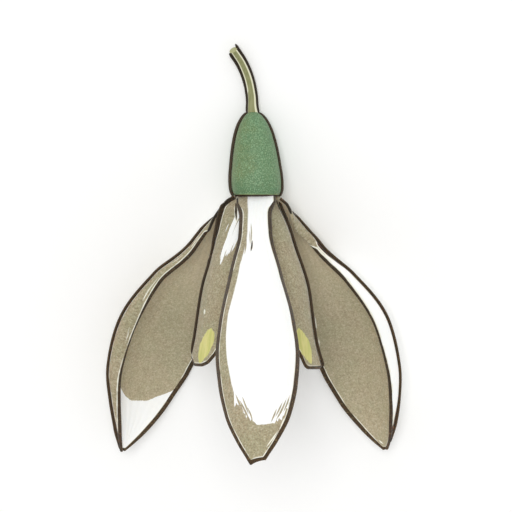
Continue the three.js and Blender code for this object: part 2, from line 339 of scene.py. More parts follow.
ovary_profile = [
    (0, 0), (1.5, 0), (2.2, 0.03), (2.52, 0.2), (2.7, 0.6), (2.77, 1.3), (2.74, 2.2), (2.62, 3.2),
    (2.47, 4.3), (2.27, 5.4), (1.99, 6.5), (1.62, 7.4), (1.18, 8.05), (0.7, 8.42), (0, OVARY_HEIGHT),
]
profile = through(ovary_profile, OVARY_RINGS)
turns = 2 * np.pi * np.arange(OVARY_SIDES) / OVARY_SIDES
radius, height = profile[:, :1], profile[:, 1:]
drawn_in = np.where(np.sin(turns) < 0, *LINE_DEPTHS)  # the side lines stand out to the profile
bell = radius - np.minimum(drawn_in * np.sin(turns) ** 4, radius / 2)
height = height + np.zeros_like(bell)
ovary_points = np.stack([bell * np.sin(turns) - OVARY_LEAN * height, height, bell * np.cos(turns)], -1)
to_side = radius * np.abs((turns % np.pi) - np.pi / 2)
ovary_ink = np.minimum(to_side - SIDE_INK, height - FLAT_END_INK)
ovary_shape = Shape(
    ovary_points[1:-1].reshape(-1, 3),
    ring_faces(OVARY_RINGS - 2, OVARY_SIDES),
    place=ovary_points[1:-1].reshape(-1, 3),
    side=np.broadcast_to(np.sin(turns), bell.shape)[1:-1].ravel(),
    ink=ovary_ink[1:-1].ravel(),
    low=np.clip(1 - height / DARKER_BELOW, 0, 1)[1:-1].ravel(),
)
last_ring = (OVARY_RINGS - 3) * OVARY_SIDES
ovary_shape.faces.append(tuple(range(OVARY_SIDES))[::-1])
ovary_shape.faces.append(tuple(range(last_ring, last_ring + OVARY_SIDES)))
beside = (profile[:, 0] > SHOULDER) & (profile[:, 1] > FLAT_END)
for side, depth in zip((-1, 1), LINE_DEPTHS):
    side_line = [(side * (r - depth / 2) - OVARY_LEAN * h, h, 0) for r, h in profile[beside]]
    ridge = cord(np.array(side_line), depth / 2)
    ridge.points[:, 2] *= LINE_FLATTENING
    ovary_shape += ridge
ovary_finish = finish_of("ovary_skin", ovary_paint, Subsurface_Weight=0.05, Specular_IOR_Level=0.3)
make("ovary_bell", ovary_shape, ovary_finish, "ovary")

# The pedicel: the thin stalk that the flower hung from, olive, arched to the left and upwards and
# cut off. It grows out of the ovary's top. A brown line runs up each side, with a pale streak
# beside it, which on the left fades out towards the foot.
PEDICEL_RINGS = 140
PEDICEL_SIDES = 40
PEDICEL_SINK = 0.5  # how deep its foot stands in the ovary
STALK_LINE = 0.145  # radius of its brown lines
STALK_LINE_SINK = 0.25  # how deep they begin in the ovary
STALK_LINE_SPREAD = 0.08  # how far they stand off the skin at the cut
LINE_OVERHANGS = (-0.05, 0.45)  # how far the left and the right one reach past the cut
STRAIGHT_END = 0.2  # their last stretch, which runs straight
STALK_INK = 0.31  # how far the brown reaches over the skin to either side of them
STREAKS_FROM = (0.55, 0.46)  # where the left and the right streak begin, as a share of the radius
LEFT_STREAK_FROM = 0.35  # the share of the length below which the left one fades out
STREAK_FADING = 0.2
LINE_POINTS = 90
OLIVE = colour(145, 145, 104)
OLIVE_DARK = colour(129, 131, 87)
OLIVE_PALE = colour(232, 230, 200)
PITH = colour(168, 168, 124)


def between(knots, place):
    """The value at a place between knots (place, value), on a curve that never overshoots."""
    x, y = np.array(knots, float).T
    rise = np.diff(y) / np.diff(x)
    lean = np.zeros(len(x))
    lean[0], lean[-1] = rise[0], rise[-1]
    for i in range(1, len(x) - 1):
        if rise[i - 1] * rise[i] > 0:
            lean[i] = 2 * rise[i - 1] * rise[i] / (rise[i - 1] + rise[i])
    k = np.clip(np.searchsorted(x, place, side="right") - 1, 0, len(x) - 2)
    span = x[k + 1] - x[k]
    return eased((place - x[k]) / span, y[k], span * lean[k], y[k + 1], span * lean[k + 1])


def pedicel_paint(tree):
    place = field(tree, "place", 1)
    streak = field(tree, "streak")
    fibre = place.stretched(5, 0.5, 5).noise(1.0, 3.0)
    skin = fibre.above(0.5, 0.2).choose(OLIVE, OLIVE_DARK)
    skin = (streak.above(0, 0.06) * 0.9).choose(skin, OLIVE_PALE)
    skin = field(tree, "cut").above(0.5, 0.1).choose(skin, PITH)
    return inked(tree, skin, place, 0.03), 0.5 + fibre * 0.2, fibre


FOOT_HEIGHT = OVARY_HEIGHT - PEDICEL_SINK
pedicel_knots = [
    (-OVARY_LEAN * FOOT_HEIGHT, FOOT_HEIGHT, 0), (-0.42, 8.85, 0.0), (-0.48, 10.1, 0.1),
    (-0.8, 11.7, 0.55), (-1.42, 13.2, 1.4), (-2.3, 14.5, 2.55),
]
pedicel_line = through(pedicel_knots, PEDICEL_RINGS)
pedicel_run = np.linspace(0, 1, PEDICEL_RINGS)
pedicel_radius = between([(0, 0.62), (0.1, 0.53), (0.2, 0.48), (0.6, 0.45), (1, 0.42)], pedicel_run)
stalk_heading = unit(np.gradient(pedicel_line, axis=0))
cut_profile = [[1, 0], [0.97, 0.04], [0.85, 0.12], [0.55, 0.24], [0.1, 0.3]]  # a low dome
dome = pedicel_radius[-1] * np.array(cut_profile)
full_line = np.vstack([pedicel_line[:-1], pedicel_line[-1] + stalk_heading[-1] * dome[:, 1:]])
full_radius = np.concatenate([pedicel_radius[:-1], dome[:, 0]])
stalk = tube(full_line, full_radius, PEDICEL_SIDES)
cut_heading = np.broadcast_to(stalk_heading[-1], (len(dome) - 1, 3))
to_right = unit(np.cross(np.vstack([stalk_heading, cut_heading]), [0, 0, 1]))
from_line = stalk.points.reshape(-1, PEDICEL_SIDES, 3) - full_line[:, None]
sideways = np.einsum("ijk,ik->ij", unit(from_line), to_right)
stalk_ink = full_radius[:, None] * np.arccos(np.clip(np.abs(sideways), 0, 1)) - STALK_INK
stalk_run = np.linspace(0, 1, len(full_line))[:, None]
left_fading = np.clip((LEFT_STREAK_FROM - stalk_run) / STREAK_FADING, 0, 1)
stalk_streak = np.maximum(sideways - STREAKS_FROM[1], -sideways - STREAKS_FROM[0] - left_fading)
cut_end = np.zeros(sideways.shape)
cut_end[PEDICEL_RINGS:] = 1
stalk_ink[PEDICEL_RINGS:] = 1
stalk.fields = {
    "place": stalk.points.copy(),
    "streak": stalk_streak.ravel(),
    "ink": stalk_ink.ravel(),
    "cut": cut_end.ravel(),
}
for side, overhang in zip((-1, 1), LINE_OVERHANGS):
    stand_off = side * (pedicel_radius + STALK_LINE_SPREAD * pedicel_run**2)
    beside = pedicel_line + to_right[:PEDICEL_RINGS] * stand_off[:, None]
    line_end = beside[-1] + stalk_heading[-1] * overhang
    before_end = (beside - line_end) @ stalk_heading[-1] < -STRAIGHT_END
    above_foot = beside[:, 1] > OVARY_HEIGHT - STALK_LINE_SINK
    every_sixth = beside[before_end & above_foot][::6]
    stalk += cord(through(np.vstack([every_sixth, line_end]), LINE_POINTS), STALK_LINE)
pedicel_finish = finish_of("pedicel_skin", pedicel_paint, Specular_IOR_Level=0.3)
make("pedicel_stalk", stalk, pedicel_finish, "pedicel")

# The outer tepals: three long thin blades round the ovary's flat end, each with a narrow claw, a
# broad spoon and a pointed tip. The front one hangs straight. The two at the sides turn their
# hollow face up and roll over along their upper margin. A brown line follows every margin.
OUTER_GRID = (220, 110)  # rows along a blade and columns across it
TEPAL_DEPTH = 0.62  # the blades lie inside solids this thick, against their outer face
MIDDLE_THICKNESS = 0.42
MARGIN_THICKNESS = 0.3
THINNING = 1.6  # the width over which a blade thins out towards its margin
ROOT_SINK = 0.9  # the length of claw that stands in the ovary
SINK_ROWS = 5
SEAT_GAP = 0.3  # between the ovary's solid and a tepal's
SECTION_STEPS = 12
MIDRIB_STEPS = 60
RIM_STEPS = 4
RIBS = 9  # fine veins along the blade
RIB_HEIGHT = 0.01
FOLD_RADIUS = 0.15  # of the brown line along a fold or a rim
FOLD_LIFT = 0.13  # of a fold's line above the skin
FOLD_INK = 0.22  # how far the brown reaches over the skin to either side of it
FOLD_RISE = 25  # how steeply it comes out of the skin at its ends
FOLD_DIVE = 0.8  # the share of FOLD_LIFT by which its ends lie under the skin
CORD_STEP = 4  # such a line follows every fourth point it is given
CORD_POINTS = 120
LEAST_PAINTED_LIGHT = 0.22  # the least painted light on the hollow face, which rises to 1 at its foot, where shade falls
PAINTED_LIGHT_FOOT = 0.5  # the share of the length over which it rises
FAR = 9.0  # a distance past every edge
TINY = 1e-4
LEAST_STEP = 1e-3

# Every knot is (place, value). Places go from 0 at the ovary to 1 at the tip, or across the blade
# from -1 at its left margin to 1 at its right one, as it would hang in front.
plain_blade = {
    "twist": [(0, 0), (1, 0)],  # degrees about the midrib
    "roll": [(0, 0), (1, 0)],  # degrees by which one margin curls over
    "roll_side": 1,
    "roll_from": 0.7,  # where across the blade the curl begins
    "shift": [(0, 0), (1, 0)],  # how far the midrib lies to the right
    "reach": [(-1, 1), (1, 1)],  # where the blade ends, across it
    "margin_ink": [(0, 0.2), (0.06, 0.28), (0.9, 0.28), (1, 0.12)],  # width of the brown margin
    "rolled_share": [(0, 1), (1, 1)],  # what the rolled margin has of it; below 0, nothing
    "end_ink": 0.2,  # height of the brown along the blade's end
    "outside_highlights": (),  # thin pale strokes of painted highlight, each as its thickness and places (along, across)
    "hollow_highlights": (),
    "shade_strokes": (),  # beige strokes of painted shade in the white of the outer face
    "dashes": (),  # brown strokes on the outer face
    "corded": (),  # cords on a rim, as its side, their start and end, and their lift
    "turning": (),  # the parts across the blade in which its outer face may fold out of sight
}


def about_axis(x, y, z, turn):
    """Points turned about the flower's axis, from the front to the right."""
    return np.stack([x * np.cos(turn) + z * np.sin(turn), y, z * np.cos(turn) - x * np.sin(turn)], -1)


def blade_middle(tepal, u, v):
    """Points of a tepal's middle surface at u along it and v across it, as if it hung at +Z."""
    degrees = np.pi / 180
    steps = (np.arange(MIDRIB_STEPS) + 0.5) / MIDRIB_STEPS
    slants = between(tepal["heading"], steps) * degrees
    step = tepal["length"] / MIDRIB_STEPS
    root_slant = tepal["heading"][0][1] * degrees
    root_drop = SEAT_GAP + TEPAL_DEPTH / 2 * math.sin(root_slant)
    out = tepal["root"] + np.concatenate([[0], np.cumsum(np.sin(slants) * step)])
    down = root_drop + np.concatenate([[0], np.cumsum(np.cos(slants) * step)])
    stations = np.linspace(0, 1, MIDRIB_STEPS + 1)
    sunk = np.minimum(u, 0) * tepal["length"]
    u = np.clip(u, 0, 1)
    out = np.interp(u, stations, out) + math.sin(root_slant) * sunk
    down = np.interp(u, stations, down) + math.cos(root_slant) * sunk
    slant, twist, cup, roll = (
        between(tepal[knots], u) * degrees for knots in ("heading", "twist", "cup", "roll")
    )
    roll_side, roll_from = tepal["roll_side"], tepal["roll_from"]
    width = between(tepal["half_width"], u) * v / SECTION_STEPS
    across = between(tepal["shift"], u) + np.zeros_like(width)
    inward = np.zeros_like(width)
    for i in range(SECTION_STEPS):
        s = v * (i + 0.5) / SECTION_STEPS
        strip = np.maximum(0, (s * roll_side - roll_from) / (1 - roll_from))
        bend = cup * s + roll_side * roll * strip
        across += np.cos(bend) * width
        inward += np.sin(bend) * width
    x = across * np.cos(twist) + inward * np.sin(twist)
    lift = across * np.sin(twist) - inward * np.cos(twist)
    y = -down + lift * np.sin(slant)
    z = out + lift * np.cos(slant)
    return about_axis(x, y, z, tepal["turn"] * degrees)


def turning_line(points, normals, columns):
    """Where the outer face turns out of the eye's sight: its places on the grid, and a line there.

    The line lies over the skin, but for its two ends, which dive into it.
    """
    facing = np.einsum("ijk,ijk->ij", normals, EYE - points)
    places, line, lift = [], [], []
    for i in range(len(points)):
        for j in columns:
            a, b = facing[i, j], facing[i, j + 1]
            if a * b < 0:
                part = a / (a - b)
                places.append((i, j + part))
                line.append(points[i, j] * (1 - part) + points[i, j + 1] * part)
                lift.append(unit(normals[i, j] + normals[i, j + 1]))
                break
    if not line:
        return places, np.zeros((0, 3))
    run = np.linspace(0, 1, len(line))
    rise = np.minimum(run, 1 - run) * FOLD_RISE - FOLD_DIVE
    raised = np.clip(rise, -FOLD_DIVE, 1)[:, None] * FOLD_LIFT
    return places, np.array(line) + np.array(lift) * raised


def smooth_cord(line):
    """A cord along a line of many points, which keeps the last of them."""
    return cord(through(line[::-CORD_STEP][::-1], CORD_POINTS), FOLD_RADIUS)


def strokes_on(tepal, across, along, strokes):
    """The distance in mm to the nearest of a face's strokes, each pointed at both ends."""
    nearest = np.full(across.shape, FAR)
    for thickness, places in strokes:
        u, v = np.array(places, float).T
        x, y = v * between(tepal["half_width"], u), u * tepal["length"]
        line = through(np.stack([x, y], 1), LINE_POINTS)
        for (x, y), t in zip(line, np.linspace(-1, 1, LINE_POINTS)):
            off = np.hypot(across - x, along - y) - thickness / 2 * (1 - t * t)
            nearest = np.minimum(nearest, off)
    return nearest


def sheet_faces(rows, columns):
    """The faces of two grids of points, back to back, and which of their points they share."""
    first = np.arange(rows * columns).reshape(rows, columns)
    shared = np.zeros(first.shape, bool)
    shared[-1] = shared[:, 0] = shared[:, -1] = True
    second = first.copy()
    second[~shared] = first.size + np.arange((~shared).sum())
    faces = []
    for i in range(rows - 1):
        for j in range(columns - 1):
            faces.append((first[i, j], first[i + 1, j], first[i + 1, j + 1], first[i, j + 1]))
            faces.append((second[i, j], second[i, j + 1], second[i + 1, j + 1], second[i + 1, j]))
    for j in range(columns - 1):
        root = (first[0, j], first[0, j + 1], second[0, j + 1], second[0, j])
        faces.append(tuple(dict.fromkeys(root)))
    return faces, shared


def past_margin(flat, both_ends):
    """How far each row or column lies past the margin, round the rim, and how thick it still is."""
    phi = np.linspace(0, np.pi / 2, RIM_STEPS + 1)[1:]
    past = np.concatenate([np.zeros(len(flat)), np.sin(phi)])
    full = np.concatenate([np.ones(len(flat)), np.cos(phi)])
    if both_ends:
        past = np.concatenate([-np.sin(phi)[::-1], past])
        full = np.concatenate([np.cos(phi)[::-1], full])
    return past, full


def brown_lines(tepal, u_line, v_line, outer, inner, normals, half_width, ink):
    """The cords along a blade's folds and rims, and its outer face's ink with that of the folds."""
    ink = ink.copy()
    cords = []
    seen = slice(SINK_ROWS, -RIM_STEPS)
    columns = len(v_line) - 1 - 2 * RIM_STEPS
    for part in tepal["turning"]:
        low, high = (int(RIM_STEPS + (place + 1) / 2 * columns) for place in part)
        places, line = turning_line(outer[seen], normals[seen], range(low, high))
        for i, j in places:
            row = i + SINK_ROWS
            v_fold = np.interp(j, np.arange(len(v_line)), v_line)
            away = np.abs(v_line - v_fold) * half_width[row] - FOLD_INK
            ink[row] = np.minimum(ink[row], away)
        if len(line) > CORD_STEP:
            cords.append(smooth_cord(line))
    half_round = RIM_STEPS // 2
    for side, start, end, lift in tepal["corded"]:
        column = half_round if side < 0 else -1 - half_round
        rim_line = ((outer + inner) / 2 + normals * lift)[:, column]
        cords.append(smooth_cord(rim_line[(u_line >= start) & (u_line <= end)]))
    return cords, ink


def face_fields(tepal, u, v, half_width, outer_ink, hollow_ink):
    """The fields of a blade's outer and hollow face, which differ in the place of their grain.

    Most are distances in mm: below 0 on a line or a stroke, above 0 in the white or in a mark.
    """
    along = u * tepal["length"]
    across = v * half_width
    ones = np.ones(u.shape)
    mark = tepal["mark"](u, v, half_width)
    drawn = {
        kind: strokes_on(tepal, across, along, tepal[kind])
        for kind in ("outside_highlights", "hollow_highlights", "shade_strokes", "dashes")
    }
    hollow_painted_light = LEAST_PAINTED_LIGHT + (1 - LEAST_PAINTED_LIGHT) * np.clip(1 - u / PAINTED_LIGHT_FOOT, 0, 1)
    return {
        "place": [np.stack([across, along, side * ones], -1) for side in (1, -FAR)],
        "ink": (np.minimum(outer_ink, drawn["dashes"]), hollow_ink),
        "white": tepal["white"](u, v, half_width, tepal["length"]),
        "streak": tepal["streaks"](u, v),
        "mark": (mark, mark),
        "stroke": (drawn["outside_highlights"], drawn["hollow_highlights"]),
        "shade": (drawn["shade_strokes"], FAR * ones),
        "pale": (0 * ones, hollow_painted_light),
    }


def blade(tepal, rows, columns):
    """A thin closed blade with a round rim, its fields, and its brown lines."""
    length = tepal["length"]
    sunk_u = np.linspace(-ROOT_SINK / length, 0, SINK_ROWS + 1)[:-1]
    flat_u = np.concatenate([sunk_u, np.linspace(0, 1, rows + 1)])
    flat_v = np.linspace(-1, 1, columns + 1)
    on_rim = np.ones(RIM_STEPS)
    u_line = np.concatenate([flat_u, on_rim])
    v_line = np.concatenate([-on_rim, flat_v, on_rim])
    past_u, full_u = past_margin(flat_u, False)
    past_v, full_v = past_margin(flat_v, True)
    reach = between(tepal["reach"], v_line)
    u = u_line[:, None] * np.where(u_line[:, None] > 0, reach, 1)
    v = np.broadcast_to(v_line, u.shape)
    down = np.where(u > 0.5, u - TINY, u)
    in_v = np.clip(v, -1 + TINY, 1 - TINY)
    middle = blade_middle(tepal, u, v)
    lengthways = unit(blade_middle(tepal, down + TINY, v) - blade_middle(tepal, down, v))
    crossways = unit(blade_middle(tepal, u, in_v + TINY) - blade_middle(tepal, u, in_v - TINY))
    normals = unit(np.cross(lengthways, crossways))

    in_u = np.clip(u, 0, 1)
    half_width = between(tepal["half_width"], in_u)
    narrowing = np.gradient(half_width[:, RIM_STEPS]) / np.maximum(np.gradient(u_line), LEAST_STEP)
    side_slope = narrowing[:, None] * np.abs(v) / length
    to_side = (1 - np.abs(v)) * half_width / np.hypot(1, side_slope)
    end_slope = np.gradient(reach) / np.maximum(np.gradient(v_line), LEAST_STEP) * length
    to_end = (reach - u) * length / np.hypot(1, end_slope / half_width)
    rim = MARGIN_THICKNESS / 2
    rim_reach = rim * np.maximum(np.abs(past_v)[None, :], past_u[:, None])
    edge = np.minimum(to_side, to_end) - rim_reach
    inside = np.clip(edge / THINNING, 0, 1)
    half = (MARGIN_THICKNESS + (MIDDLE_THICKNESS - MARGIN_THICKNESS) * inside * (2 - inside)) / 2
    ribs = RIB_HEIGHT * np.cos(np.pi * RIBS * v) * np.clip(edge, 0, 1)
    middle = middle + normals * (TEPAL_DEPTH / 2 - half + ribs)[..., None]
    middle += crossways * (rim * past_v)[None, :, None] + lengthways * (rim * past_u)[:, None, None]
    bulge = (half * full_u[:, None] * full_v[None, :])[..., None]
    outer, inner = middle + normals * bulge, middle - normals * bulge

    rolled = v * tepal["roll_side"] > 0
    rolled_share = between(tepal["rolled_share"], in_u)
    margin_ink = between(tepal["margin_ink"], in_u) * np.where(rolled, rolled_share, 1)
    ink = np.minimum(to_side - margin_ink, to_end - tepal["end_ink"]) - rim_reach
    cords, outer_ink = brown_lines(tepal, u_line, v_line, outer, inner, normals, half_width, ink)
    faces, shared = sheet_faces(*u.shape)

    def both(front, back):
        return np.concatenate([front.reshape(-1, *front.shape[2:]), back[~shared]])

    pairs = face_fields(tepal, u, v, half_width, outer_ink, ink)
    fields = {name: both(*pair) for name, pair in pairs.items()}
    return sum(cords, Shape(both(outer, inner), faces, **fields))


# The beige is painted shade on the tepals' white: a green-grey tint, and a darker and a lighter grain.
SHADE_BEIGE = colour(161, 148, 120)
SHADE_BEIGE_GREEN = colour(156, 149, 118)
SHADE_BEIGE_DARK = colour(128, 115, 89)
SHADE_BEIGE_LIGHT = colour(190, 178, 152)
PAINTED_LIGHT_BEIGE = colour(226, 211, 178)  # painted light: a paler beige towards the foot of the hollow
TEPAL_WHITE = colour(254, 254, 251)
MARK_YELLOW = colour(215, 207, 133)
MARK_GREEN = colour(196, 194, 112)


def tepal_paint(tree):
    place = field(tree, "place", 1)
    broad = place.noise(0.35)
    grain = place.noise(6.5, 3.0, 0.65)
    # The base of every tepal is the beige painted shade.
    skin = broad.above(0.5, 0.15).choose(SHADE_BEIGE, SHADE_BEIGE_GREEN)
    skin = (grain.above(0.58, 0.06) * 0.8).choose(skin, SHADE_BEIGE_LIGHT)
    skin = ((1 - grain).above(0.58, 0.06) * 0.8).choose(skin, SHADE_BEIGE_DARK)
    # Painted light: the hollow is paler towards its foot, where shade falls in it.
    skin = (field(tree, "pale") * 0.7).choose(skin, PAINTED_LIGHT_BEIGE)
    brush = place.stretched(3.2, 0.2, 1).noise(1.0, 2.0)
    shift = (brush - 0.5) * 4 * field(tree, "streak")
    # The tepal's own white replaces the beige painted shade where the field white is above 0, but for
    # thin hatch strokes of painted shade.
    white = (field(tree, "white") + shift).above(0, 0.06)
    skin = (white * field(tree, "shade").above(0, 0.03)).choose(skin, TEPAL_WHITE)
    # Thin pale strokes of painted highlight.
    skin = (0 - field(tree, "stroke")).above(0, 0.03).choose(skin, PALE_EDGE)
    hatch = place.stretched(3.0, 0.5, 1).noise(1.0, 3.0)
    marked = (field(tree, "mark") + (hatch - 0.5) * 0.5).above(0, 0.06)
    skin = marked.choose(skin, hatch.above(0.5, 0.15).choose(MARK_YELLOW, MARK_GREEN))
    return inked(tree, skin, place, 0.07), 0.55 + grain * 0.2, grain


tepal_finish = finish_of(
    "tepal_skin", tepal_paint, Subsurface_Weight=0.08, Sheen_Weight=0.15, Specular_IOR_Level=0.25
)


def no_mark(u, v, half_width):
    """How far a place lies inside a mark, in mm, on a blade that has none."""
    return np.full(u.shape, -FAR)


def front_white(u, v, half_width, length):
    """White over the middle of the outer face, with beige painted shade down its left side and at its
    lower end;
    the hollow face is beige painted shade but for its white tip.
    """
    left = between([(0, -0.43), (0.07, -0.45), (0.21, -0.44), (0.3, -0.53), (0.4, -0.6),
                    (0.5, -0.7), (0.66, -0.63), (0.75, -0.55), (0.8, -0.47), (0.83, -0.36),
                    (0.87, 0)], u.clip(0, 0.87))
    lower = between([(-1, 0.76), (-0.48, 0.8), (-0.2, 0.858), (0.07, 0.873), (0.5, 0.868),
                     (0.75, 0.85), (0.85, 0.8), (1, 0.76)], v)
    outside = np.minimum((v - left) * half_width, (lower - u) * length)
    return outside, (u - 0.81) * length


def front_streaks(u, v):
    """Brush streaks make the lower end of the white ragged, to either side of its middle."""
    lower = np.clip((u - 0.74) * 10, 0, 1) * np.clip((np.abs(v - 0.2) - 0.25) * 4, 0, 1)
    return 0.05 + 0.9 * lower, np.full(u.shape, 0.08)


def left_white(u, v, half_width, length):
    """The hollow face is white below a rounded line and beige painted shade above it; the rolled band
    is beige painted shade.
    """
    top = between([(-1, 0.766), (-0.88, 0.788), (-0.63, 0.808), (-0.4, 0.824), (0, 0.825),
                   (0.23, 0.812), (0.42, 0.78), (0.6, 0.7), (1, 0.6)], v)
    outside = np.minimum((0.2 - v) * half_width, (0.87 - u) * length)
    return outside, (u - top) * length


def right_white(u, v, half_width, length):
    """The hollow face is all beige painted shade; the outer face is white down its rolled side."""
    edge = between([(0, -1.1), (0.19, -1.02), (0.26, -0.8), (0.33, 0.5), (1, 0.5)], u.clip(0, 1))
    outside = np.minimum((edge - v) * half_width, (0.9 - u) * length)
    return outside, np.full(u.shape, -FAR)


def even_streaks(outside, hollow):
    """The white's edge is as ragged all along a face."""
    return lambda u, v: (np.full(u.shape, outside), np.full(u.shape, hollow))


outer_tepal = {
    **plain_blade,
    "root": 2.25,
    "cup": [(0, 26), (0.08, 30), (0.35, 50), (0.7, 45), (1, 25)],
    "mark": no_mark,
    "streaks": even_streaks(0.1, 0.05),
}
outer_tepals = {
    "front": {
        **outer_tepal,
        "turn": 0,
        "length": 29.7,
        "heading": [(0, 54), (0.08, 52), (0.2, 42), (0.4, 35), (0.6, 24), (0.8, 16), (1, 16)],
        "shift": [(0, -0.05), (0.05, -0.12), (0.2, -0.12), (0.33, -0.07), (0.45, 0), (1, 0)],
        "half_width": [(0, 1.78), (0.07, 1.44), (0.16, 1.54), (0.32, 2.81), (0.5, 4.08),
                       (0.62, 4.48), (0.72, 4.22), (0.83, 3.3), (0.92, 1.9), (0.97, 0.95), (1, 0.4)],
        "cup": [(0, 18), (0.08, 26), (0.35, 58), (0.7, 58), (1, 30)],
        "twist": [(0, 4), (0.3, 0), (0.7, 4), (1, 10)],
        "reach": [(-1, 0.995), (1, 0.981)],
        "white": front_white,
        "streaks": front_streaks,
        "margin_ink": [(0, 0.1), (0.05, 0.28), (0.14, 0.33), (0.25, 0.45), (0.35, 0.56),
                       (0.7, 0.56), (0.85, 0.38), (1, 0.22)],
        "outside_highlights": (
            (0.12, [(0.845, 0.82), (0.86, 0.83), (0.875, 0.82)]),
            (0.12, [(0.888, 0.8), (0.915, 0.73), (0.946, 0.58)]),
        ),
        "shade_strokes": (
            (0.1, [(0.123, -0.25), (0.181, -0.2), (0.227, -0.17)]),
            (0.08, [(0.16, -0.32), (0.2, -0.26), (0.231, -0.22)]),
            (0.14, [(0.185, -0.48), (0.227, -0.43), (0.265, -0.42)]),
            (0.16, [(0.785, -0.42), (0.835, -0.27), (0.862, -0.18)]),
            (0.14, [(0.775, -0.34), (0.81, -0.27), (0.84, -0.2)]),
            (0.17, [(0.765, -0.5), (0.804, -0.42), (0.835, -0.33)]),
            (0.13, [(0.81, -0.24), (0.84, -0.15), (0.868, -0.1)]),
            (0.17, [(0.778, 0.75), (0.827, 0.67), (0.86, 0.58)]),
            (0.13, [(0.79, 0.66), (0.823, 0.6), (0.85, 0.54)]),
            (0.15, [(0.765, 0.82), (0.8, 0.79), (0.83, 0.74)]),
            (0.14, [(0.815, 0.54), (0.84, 0.5), (0.868, 0.45)]),
        ),
        "dashes": ((0.16, [(0.205, -0.15), (0.23, -0.15), (0.256, -0.18)]),),
    },
    "left": {
        **outer_tepal,
        "turn": 237,
        "length": 30,
        "heading": [(0, 58), (0.08, 52), (0.2, 36.3), (0.4, 40.9), (0.6, 23.5), (0.8, 6.9), (1, 18.6)],
        "half_width": [(0, 1.75), (0.07, 1.95), (0.15, 2.05), (0.35, 4.7), (0.55, 6.28),
                       (0.7, 5.68), (0.82, 4.02), (0.92, 2.02), (0.97, 0.86), (1, 0.14)],
        "twist": [(0, 0), (0.1, -4.6), (0.2, 3.7), (0.35, 27.1), (0.7, 19), (1, 20.7)],
        "roll": [(0, 0), (0.06, 0), (0.12, 38.8), (0.22, 51.5), (0.35, 67.9), (0.55, 132),
                 (0.75, 105), (0.9, 86), (1, 53)],
        "cup": [(0, 0), (0.08, 24.7), (0.35, 57.5), (0.7, 45.3), (1, 37.8)],
        "white": left_white,
        "rolled_share": [(0, 0.6), (0.04, 0.2), (0.07, -1.2), (0.1, -1.2), (0.14, 0.3),
                         (0.25, 0.4), (1, 0.4)],
        "corded": ((1, -0.03, 0.13, 0),),
        "outside_highlights": (
            (0.07, [(0.162, 0.88), (0.19, 0.87), (0.219, 0.86)]),
            (0.07, [(0.242, 0.86), (0.27, 0.86), (0.292, 0.86)]),
            (0.1, [(0.338, 0.93), (0.392, 0.92), (0.45, 0.94)]),
            (0.1, [(0.535, 0.93), (0.57, 0.94), (0.6, 0.94)]),
            (0.1, [(0.812, 0.84), (0.83, 0.85), (0.846, 0.85)]),
        ),
        "turning": ((0, 1),),
    },
    "right": {
        **outer_tepal,
        "turn": 123,
        "length": 29.4,
        "heading": [(0, 56), (0.08, 48), (0.2, 35.4), (0.4, 39.5), (0.6, 22.7), (0.8, 9.8), (1, 12.7)],
        "half_width": [(0, 2.1), (0.04, 2.35), (0.07, 2.2), (0.14, 1.87), (0.22, 2.05), (0.28, 2.8),
                       (0.35, 3.9), (0.55, 5.73), (0.7, 5.26), (0.82, 3.97), (0.92, 2.11),
                       (0.97, 0.95), (1, 0.14)],
        "twist": [(0, 0), (0.1, 8.8), (0.2, -11.8), (0.35, -29.3), (0.7, -20.6), (1, -20)],
        "roll": [(0, 0), (0.06, 19.4), (0.12, 66), (0.22, 88), (0.35, 103), (0.55, 126),
                 (0.75, 103.7), (0.9, 75.8), (1, 1.9)],
        "roll_from": 0.735,
        "roll_side": -1,
        "cup": [(0, 16.3), (0.08, 44.4), (0.35, 53.5), (0.7, 45.9), (1, 41.3)],
        "white": right_white,
        "rolled_share": [(0, 0), (0.03, -1.2), (0.16, -1.2), (0.21, 0.3), (0.3, 0.4), (1, 0.4)],
        "corded": ((-1, -0.03, 0.035, 0),),
        "hollow_highlights": (
            (0.14, [(0.442, 0.74), (0.48, 0.76), (0.512, 0.78)]),
            (0.12, [(0.542, 0.8), (0.565, 0.82), (0.585, 0.84)]),
            (0.1, [(0.596, 0.87), (0.61, 0.88), (0.623, 0.89)]),
            (0.12, [(0.631, 0.9), (0.647, 0.91), (0.662, 0.92)]),
            (0.16, [(0.968, 0.5), (0.977, 0.3), (0.984, 0.0)]),
        ),
        "turning": ((-1, 0),),
    },
}
for name, tepal in outer_tepals.items():
    outer_blade = blade(tepal, *OUTER_GRID)
    make(f"outer_tepal_{name}_blade", outer_blade, tepal_finish, f"outer_tepal_{name}")

# The inner tepals: three shorter blades that stand inside the outer ones and curve round into a
# cup. The lower edge of each has a notch between two lobes, with a yellow-green mark about it.
INNER_GRID = (120, 90)
INNER_LENGTH = 17.7
MARK_FROM = 0.765  # where along the blade the mark's two spots begin
MARK_LENGTH = 3.6
MARK_HALF_WIDTH = 0.95
MARK_GAP = 1.05  # from the notch's middle to a spot's, at its top
MARK_SPREAD = 1.35  # how much further out a spot ends


# The whole blade is beige painted shade.
def no_white(u, v, half_width, length):
    return np.full(u.shape, -FAR), np.full(u.shape, -FAR)


